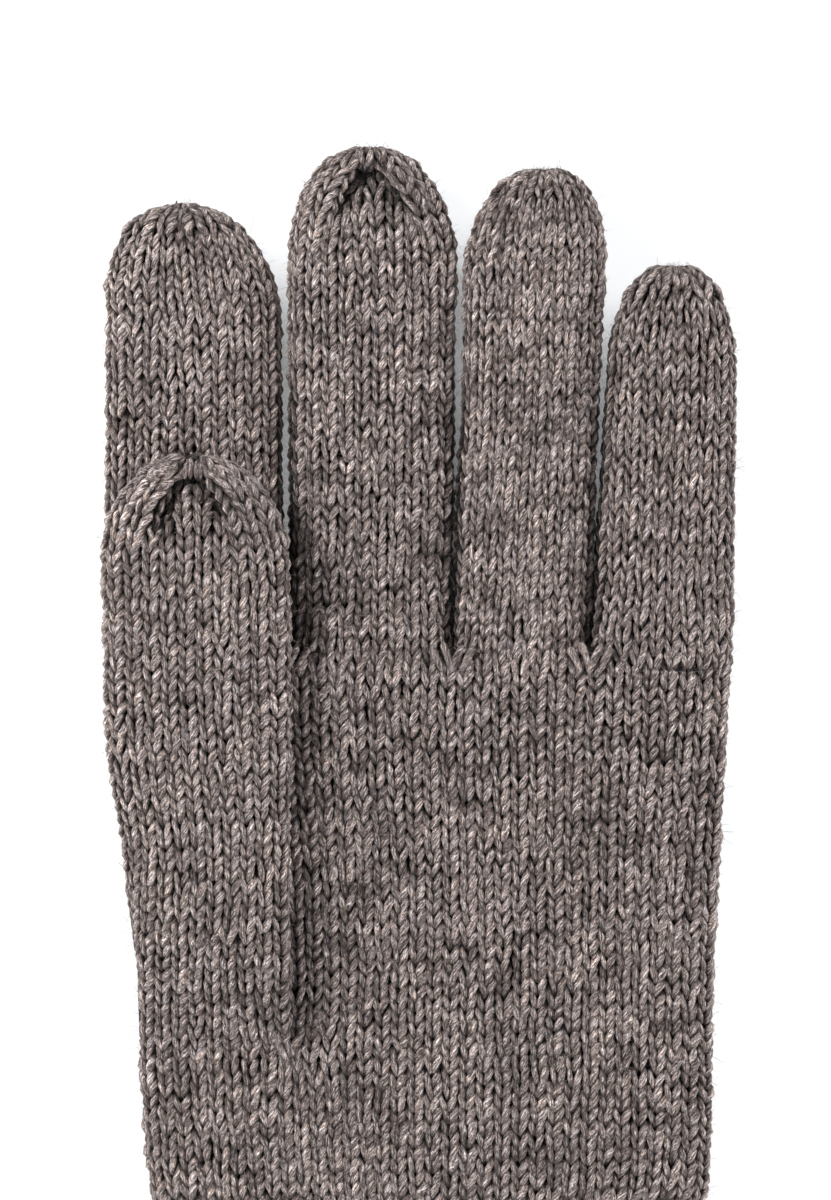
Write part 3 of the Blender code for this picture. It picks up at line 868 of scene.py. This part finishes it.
def graft(tube, hand):
    """Lay the thumb's foot on the palm's own wales, with its hidden side behind them."""
    crotch_x, crotch_z = thumb_crotch()
    wale = np.arange(tube.wales * tube.FINE_U) / tube.FINE_U
    left_of_edge = (round(tube.wales * 0.75) - wale) % tube.wales
    for row in np.flatnonzero(tube.level <= crotch_z + THUMB_RISE):
        z = tube.level[row]
        points, run = hand.ring_at(z)
        edge = hand.front_run(z, crotch_x)[0]
        side = run[len(points) // 4]
        pitch = run[-1] / hand.wales
        front_wales = (edge - side) / pitch
        hidden = np.clip((left_of_edge - front_wales) / (tube.wales - front_wales), 0, 1)
        at = np.where(hidden > 0, side + (edge - side) * hidden, edge - left_of_edge * pitch)
        x, y = np.interp(at, run, points[:, 0]), np.interp(at, run, points[:, 1])
        y = y + THUMB_BACK * np.sin(math.pi * hidden) ** 0.5
        outer = points[:, 0].min()
        across = np.clip((x - outer) / (crotch_x - outer), 0, 1)
        risen = crotch_z + THUMB_RISE - (THUMB_RISE - THUMB_EDGE_RISE) * across
        grown = smoothstep(z, crotch_z - 0.001, risen)
        spread = smoothstep(z, crotch_z, crotch_z + THUMB_RISE)
        tube.grid[row, :, 0] = x + (tube.grid[row, :, 0] - x) * spread
        tube.grid[row, :, 1] = y + (tube.grid[row, :, 1] - y) * grown
        sheet_share = smoothstep(z, crotch_z + THUMB_SHEET_RETURN, crotch_z + THUMB_RISE)
        tube.shade_sheet_depth[row, hidden > 0] *= sheet_share


def make_room(hand):
    """Sink the palm a little where the foot of the thumb lies on it."""
    crotch_x, crotch_z = thumb_crotch()
    x, y, z = (hand.grid[..., axis] for axis in range(3))
    face = smoothstep(hand.outward(), 0.0, 0.5)
    across = smoothstep(crotch_x - x, *ROOM_EDGE)
    start = smoothstep(z - hand.last_free, *ROOM_START)
    end = 1 - smoothstep(z - crotch_z, *ROOM_END)
    hand.grid[..., 1] = y + ROOM_DEPTH * face * across * start * end


def seam_of(name, side):
    """One crease of a tip as distances from its middle and heights, the lower end first."""
    apex_z = tip_of(name)[1]
    (ax, az), (bx, bz) = CREASES[name][side][:2]
    return (abs(bx), abs(ax)), (apex_z + bz, apex_z + az)


def crease_tip(name, tube, crown):
    """Pleat and crease a tip as its closure draws it together."""
    apex_x, apex_z = tip_of(name)
    if len(CREASES[name]) == 2:
        tube.pleat(dome_foot(name), seam_of(name, 0), seam_of(name, 1))
    for part in (tube, crown):
        for (ax, az), (bx, bz), depth, width in CREASES[name]:
            part.crease((apex_x + ax, apex_z + az), (apex_x + bx, apex_z + bz), depth, width)
        part.finish()


def crown_height(name):
    """Where a tip's wales go over into half as many."""
    foot, top = dome_foot(name), tip_of(name)[1]
    return foot + CROWN_START.get(name, CROWN_START_PLAIN) * (top - foot)


# ---- the glove's pieces
def pieces_of(tube, name, cuts, seed, face=None, crown=None):
    """Knit a tube in pieces between the given heights. The last one may end in a crown, a pair
    of its tube and the height it starts at."""
    loops = loop_rows(tube, seed, face)
    courses = [max(0, tube.course_at(z)) for z in cuts]
    made = []
    for part, (low, high) in enumerate(zip(courses, courses[1:])):
        parts = [(tube, loops, low, high)]
        if crown and part == len(courses) - 2:
            top, turn = crown[0], tube.course_at(crown[1])
            parts = [(tube, loops, low, turn), (top, loop_rows(top, seed + 3), turn, top.courses + 1)]
        made.append(knit(f"{name}_{part + 1}", parts, seed + 5 + part))
    return made


def settle(piece, nodes, slot, *place):
    """Attach a piece to its one body; a piece given two bodies and a bend only has its transform baked
    in. Hide the nodes it stands for. slot is not used.
    """
    if len(place) == 1:
        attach(piece, place[0])
    else:
        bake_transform(piece)
    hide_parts(*nodes)


def add_hand():
    low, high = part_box("hand_tube")
    cuts = [low.z, *np.linspace(WRIST_TOP, high.z + HAND_OVER, HAND_CUTS)]
    wrist, *others = pieces_of(hand, "hand_knit", cuts, 100)
    settle(wrist, ["hand_tube"], "knit_hand", "hand", "cuff", *WRIST_BEND)
    for piece in others:
        settle(piece, ["hand_tube"], "knit_hand", "hand")


def add_finger(number, name):
    """A finger's three pieces, each reaching over the knuckle at its lower end."""
    tube, crown = stall_tube(name)
    crease_tip(name, tube, crown)
    apex_z = tip_of(name)[1]
    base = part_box(f"{name}_base_tube")[0].z
    mid, tip = joint_height(f"{name}_mid_curl"), joint_height(f"{name}_tip_curl")
    cuts = [tube.level[0], (base + BASE_BEND + mid - BEND_HALF) / 2, (mid + tip) / 2, apex_z]
    seed = 300 + 100 * number
    made = pieces_of(tube, f"{name}_knit", cuts, seed, crown=(crown, crown_height(name)))
    bodies = ["hand", f"{name}_base", f"{name}_mid", f"{name}_tip"]
    bends = [
        (base, base + BASE_BEND),
        (mid - BEND_HALF, mid + BEND_HALF),
        (tip - BEND_HALF, tip + BEND_HALF),
    ]
    for piece, node, below, above, bend in zip(made, stack(name), bodies, bodies[1:], bends):
        settle(piece, [node], "knit_finger", below, above, *bend)


def add_thumb():
    """The thumb's three pieces, one each for where it lifts, where it swings and its knuckle."""
    crease_tip("thumb", thumb, thumb_crown)
    cuts = [thumb.level[0], *THUMB_CUTS, tip_of("thumb")[1]]
    crown = (thumb_crown, crown_height("thumb"))
    made = pieces_of(thumb, "thumb_knit", cuts, 900, crown=crown)
    bends = {
        "thumb_fold": (["thumb_gusset"], "hand", "thumb_base", FOLD_BEND),
        "thumb_swing": (["thumb_base_tube"], "thumb_base", "thumb_mid", SWING_BEND),
        "thumb_tip_bend": (["thumb_mid_tube", "thumb_tip_tube"], "thumb_mid", "thumb_tip",
                           (-BEND_HALF, BEND_HALF)),
    }
    for piece, (joint, (nodes, below, above, (start, end))) in zip(made, bends.items()):
        z = joint_height(joint)
        settle(piece, nodes, "knit_thumb", below, above, z + start, z + end)


def rib(u):
    """+1 on knit wales, -1 on purl wales, two and two, eased from one to the next."""
    return np.tanh(2.2 * np.sin(math.pi * u / 2))


def cuff_tube():
    """The cuff, whose wales go on from the hand's."""
    start, end = cuff_ends()
    rows = outline(["cuff_rib"], 15)
    return Tube("cuff", rows, start, end + CUFF_END, wales=hand.wales, phase=hand.phase).finish()


def cuff_ends():
    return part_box("cuff_edge")[0].z + CUFF_START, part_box("cuff_rib")[1].z


def add_cuff():
    start, end = cuff_ends()
    cuts = [start, *CUFF_CUTS, end + CUFF_OVER]
    *others, wrist = pieces_of(cuff, "cuff_knit", cuts, 1100, face=rib)
    for piece in others:
        settle(piece, ["cuff_rib"], "knit_cuff", "cuff")
    settle(wrist, ["cuff_rib"], "knit_cuff", "hand", "cuff", *WRIST_BEND)


# ---- edges, closures and joins
def smooth_line(points, samples):
    """A smooth open line through a few points."""
    points = np.array(points, float)
    at = np.linspace(0, len(points) - 1, samples)
    line = np.stack([np.interp(at, np.arange(len(points)), points[:, axis]) for axis in range(3)], 1)
    for _ in range(samples // 5):
        line[1:-1] = (line[:-2] + 2 * line[1:-1] + line[2:]) / 4
    return line


def strands(name, lines, outward, radius, seed):
    """A piece of short, separate lengths of yarn with tapered ends; outward is one direction
    for them all, or one for each."""
    r = np.random.default_rng(seed)
    path = np.stack([smooth_line(line, STRAND_SAMPLES) for line in lines])
    normal = np.broadcast_to(np.reshape(np.array(outward, float), (-1, 1, 3)), path.shape).copy()
    rise = np.linspace(0, STRAND_TAPER, STRAND_SAMPLES)
    taper = np.sqrt(np.clip(np.minimum(rise, rise[::-1]), 0.03, 1))
    run = length_run(path, closed=False) + r.uniform(0, 1, (len(lines), 1))
    radii = radius * taper * np.ones((len(lines), 1))
    height = np.full(radii.shape, 0.9 * LOOP_DEPTH)
    bundle = Bundle()
    sweep(bundle, path, normal, radii, run, height, closed=False)
    add_fuzz(bundle, path, normal, radii, run, seed + 1, 3.0)
    return bundle.make(name, knit_wool)


def rolled_edge():
    """The cast-on edge: three yarns that wind round each other along the cuff's rim."""
    low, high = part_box("cuff_edge")
    u = np.linspace(0, cuff.wales, cuff.wales * 8, endpoint=False)[None]
    phase = 2 * math.pi * np.arange(EDGE_YARNS)[:, None] / EDGE_YARNS
    swing = math.pi * u + phase
    position, normal = cuff.at(u + 0 * phase, -0.6, cuff.grid, cuff.normal)
    height = EDGE_SWING * np.cos(swing)
    path = position + normal * height[..., None]
    path[..., 2] = (low.z + high.z) / 2 + EDGE_SWING * np.sin(swing)
    radius = np.full(height.shape, EDGE_RADIUS)
    run = length_run(path, closed=True)
    bundle = Bundle()
    sweep(bundle, path, normal, radius, run, height)
    add_fuzz(bundle, path, normal, radius, run, 1201, 1.5)
    return bundle.make("rolled_edge", knit_wool)


def add_closure(number, name):
    """The drawn-up end of a tip: short strands that run over it from front to back."""
    low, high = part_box(f"{name}_tip_closure")
    r = np.random.default_rng(1300 + number)
    centre_x, centre_y, top = (low.x + high.x) / 2, (low.y + high.y) / 2, high.z - CLOSURE_SINK
    lines = []
    for share in np.linspace(-1, 1, CLOSURE_STRANDS):
        x = centre_x + CLOSURE_HALF * share + r.normal(0, 0.0001)
        end_x = x * 0.8 + centre_x * 0.2 + 0.0006 * share
        drop = CLOSURE_DROP * share**2
        end_y, end_z = CLOSURE_END
        over = [(x, centre_y + y, top + z - drop) for y, z in CLOSURE_OVER]
        front, back = ((end_x, centre_y + y, top + end_z) for y in (-end_y, end_y))
        lines.append([front, *over, back])
    piece = strands(f"{name}_closure", lines, (0, 0, 1), CLOSURE_RADIUS, 1310 + number)
    settle(piece, [f"{name}_tip_closure"], "stitch_wool", f"{name}_tip")


def on_face(strand, x, face, z, side):
    """A strand given as (x, out of the face, z) from a point, laid on one face of the hand."""
    return [(x + across, face + side * out, z + up) for across, out, up in strand]


def add_join(number, pair):
    """Stitches that close the crotch between two fingers, on both faces and over the edge."""
    node = f"{pair}_crotch_join"
    low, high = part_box(node)
    hand_low, hand_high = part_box("hand_tube")
    x, z = (low.x + high.x) / 2, high.z
    front, back = hand_low.y - JOIN_PROUD, hand_high.y + JOIN_PROUD
    lines = [on_face(strand, x, front, z, -1) for strand in JOIN_FACE]
    lines += [on_face(strand, x, back, z, 1) for strand in JOIN_FACE]
    over = ((front, -0.0012), ((front + back) / 2, 0.0010), (back, -0.0012))
    lines += [[(x + shift, y, z + up) for y, up in over] for shift in JOIN_OVER]
    each = len(JOIN_FACE)
    outward = [(0, -1, 0.2)] * each + [(0, 1, 0.2)] * each + [(0, 0, 1)] * len(JOIN_OVER)
    piece = strands(f"{pair}_join_knit", lines, outward, JOIN_RADIUS, 1400 + number)
    settle(piece, [node], "stitch_wool", "hand")


def add_thumb_join():
    """Stitches that close the corner between the thumb and the palm."""
    crotch_x, crotch_z = thumb_crotch()
    face = hand.shape[1][0] - hand.shape[3][0] - LOOP_DEPTH
    lines = [on_face(strand, crotch_x, face, crotch_z, -1) for strand in THUMB_JOIN]
    piece = strands("thumb_join_knit", lines, (0, -1, 0), THUMB_JOIN_RADIUS, 1450)
    settle(piece, ["thumb_crotch_join"], "stitch_wool", "hand")


LABEL_COLUMNS, LABEL_ROWS = 40, 56
LABEL_HALF = 0.00018  # half thickness of the label
LABEL_WAVE = 0.00010


def care_label():
    """A blank tape sewn flat inside the cuff's back, a little wavy, with rounded edges."""
    low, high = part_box("care_label")
    u, v = np.meshgrid(np.linspace(0, 1, LABEL_COLUMNS), np.linspace(0, 1, LABEL_ROWS))
    middle = (low.y + high.y) / 2 + LABEL_WAVE * waves(1500)(u * 3, v * 4) * (1 - v)
    columns_in, rows_in = np.minimum(u, 1 - u) * LABEL_COLUMNS, np.minimum(v, 1 - v) * LABEL_ROWS
    thick = LABEL_HALF * np.sqrt(np.clip(np.minimum(columns_in, rows_in) / 2, 0.02, 1))
    x, z = low.x + (high.x - low.x) * u, low.z + (high.z - low.z) * v
    front = np.stack([x, middle - thick, z], 2).reshape(-1, 3)
    back = np.stack([x, middle + thick, z], 2).reshape(-1, 3)
    index = np.arange(len(front)).reshape(LABEL_ROWS, LABEL_COLUMNS)
    face = np.stack([index[:-1, :-1], index[:-1, 1:], index[1:, 1:], index[1:, :-1]], 2).reshape(-1, 4)
    rim = np.concatenate([index[0, :], index[1:, -1], index[-1, -2::-1], index[-2:0:-1, 0]])
    ahead = np.roll(rim, -1)
    wall = np.stack([rim, rim + len(front), ahead + len(front), ahead], 1)
    faces = np.concatenate([face, face[:, ::-1] + len(front), wall])
    mesh = bpy.data.meshes.new("care_label_tape")
    mesh.from_pydata(np.concatenate([front, back]).tolist(), [], faces.tolist())
    mesh.shade_smooth()
    return placed("care_label_tape", mesh, label_material())


knit_wool = wool("heathered_wool")
hand = hand_tube()
thumb, thumb_crown = thumb_tube(hand)
make_room(hand)
for knitted in (hand, thumb):
    knitted.gather(*thumb_crotch(), CROTCH_PULL, CROTCH_REACH)
hand.finish()
cuff = cuff_tube()

add_hand()
for number, name in enumerate(FINGERS):
    add_finger(number, name)
add_thumb()
add_cuff()
settle(rolled_edge(), ["cuff_edge"], "knit_cuff", "cuff")
for number, name in enumerate((*FINGERS, "thumb")):
    add_closure(number, name)
for number, pair in enumerate(("index_middle", "middle_ring", "ring_little")):
    add_join(number, pair)
add_thumb_join()
settle(care_label(), ["care_label"], "label_cloth", "cuff")

# ---- studio
BACK = 0.01065 + 0.004  # the backdrop hangs this far behind the middle of the glove
# painted shadow: open space at which each sheet is darkest and brightest, and how bright it is there
FLOOR_SHADOW = (0.0, 0.5, 0.5, 0.92)
BACKDROP_SHADOW = (0.17, 0.33, 0.03, 0.92)
LAMPS = {
    # place, aim, size and power
    "key": ((-0.25, -0.27, 0.38), (0, 0, 0.17), 0.13, 1.68),
    "right": ((1.15, -0.22, 0.28), (0, 0, 0.17), 0.8, 12.0),
    "left": ((-1.10, -0.28, 0.20), (0, 0, 0.15), 0.8, 7.0),
    "back": ((0.50, 0.85, 0.55), (0, 0, 0.15), 0.4, 6.5),
}
SKY_LIGHT = 0.12  # how strongly the white world lights the glove
VIEW_HEIGHT, VIEW_CENTRE = 0.192, (-0.0007, 0.1775)
SENSOR_HEIGHT, LENS = 24, 150


def sheet(name, corners, shadow):
    mesh = bpy.data.meshes.new(name)
    mesh.from_pydata(corners, [], [(0, 1, 2, 3)])
    placed(name, mesh, backdrop_material(f"{name}_white", shadow))


def area_light(name, place, aim, size, power):
    data = bpy.data.lights.new(name, "AREA")
    data.size = size
    data.energy = power
    lamp = bpy.data.objects.new(name, data)
    lamp.location = place
    lamp.rotation_euler = (Vector(aim) - Vector(place)).to_track_quat("-Z", "Y").to_euler()
    bpy.context.scene.collection.objects.link(lamp)


def white_world():
    """A white world that the camera sees at full strength and the glove much weaker."""
    world = bpy.data.worlds.new("soft_white")
    world.use_nodes = True
    nodes, links = world.node_tree.nodes, world.node_tree.links
    seen = nodes.new("ShaderNodeLightPath").outputs["Is Camera Ray"]
    level = nodes.new("ShaderNodeMapRange")
    level.inputs["To Min"].default_value = SKY_LIGHT
    nodes["Background"].inputs["Color"].default_value = (1, 1, 1, 1)
    links.new(seen, level.inputs["Value"])
    links.new(level.outputs["Result"], nodes["Background"].inputs["Strength"])
    return world


def front_camera():
    data = bpy.data.cameras.new("camera")
    data.sensor_fit = "VERTICAL"
    data.sensor_height = SENSOR_HEIGHT
    data.lens = LENS
    camera = bpy.data.objects.new("camera", data)
    camera.location = (VIEW_CENTRE[0], -VIEW_HEIGHT * LENS / SENSOR_HEIGHT, VIEW_CENTRE[1])
    camera.rotation_euler = (math.pi / 2, 0, 0)
    bpy.context.scene.collection.objects.link(camera)
    return camera


sheet("floor", [(-3, -3, 0), (3, -3, 0), (3, 3, 0), (-3, 3, 0)], FLOOR_SHADOW)
sheet("backdrop", [(-1, BACK, 0), (1, BACK, 0), (1, BACK, 1), (-1, BACK, 1)], BACKDROP_SHADOW)
for name, lamp in LAMPS.items():
    area_light(name, *lamp)
bpy.context.scene.world = white_world()
bpy.context.scene.view_settings.view_transform = "Standard"
bpy.context.scene.camera = front_camera()
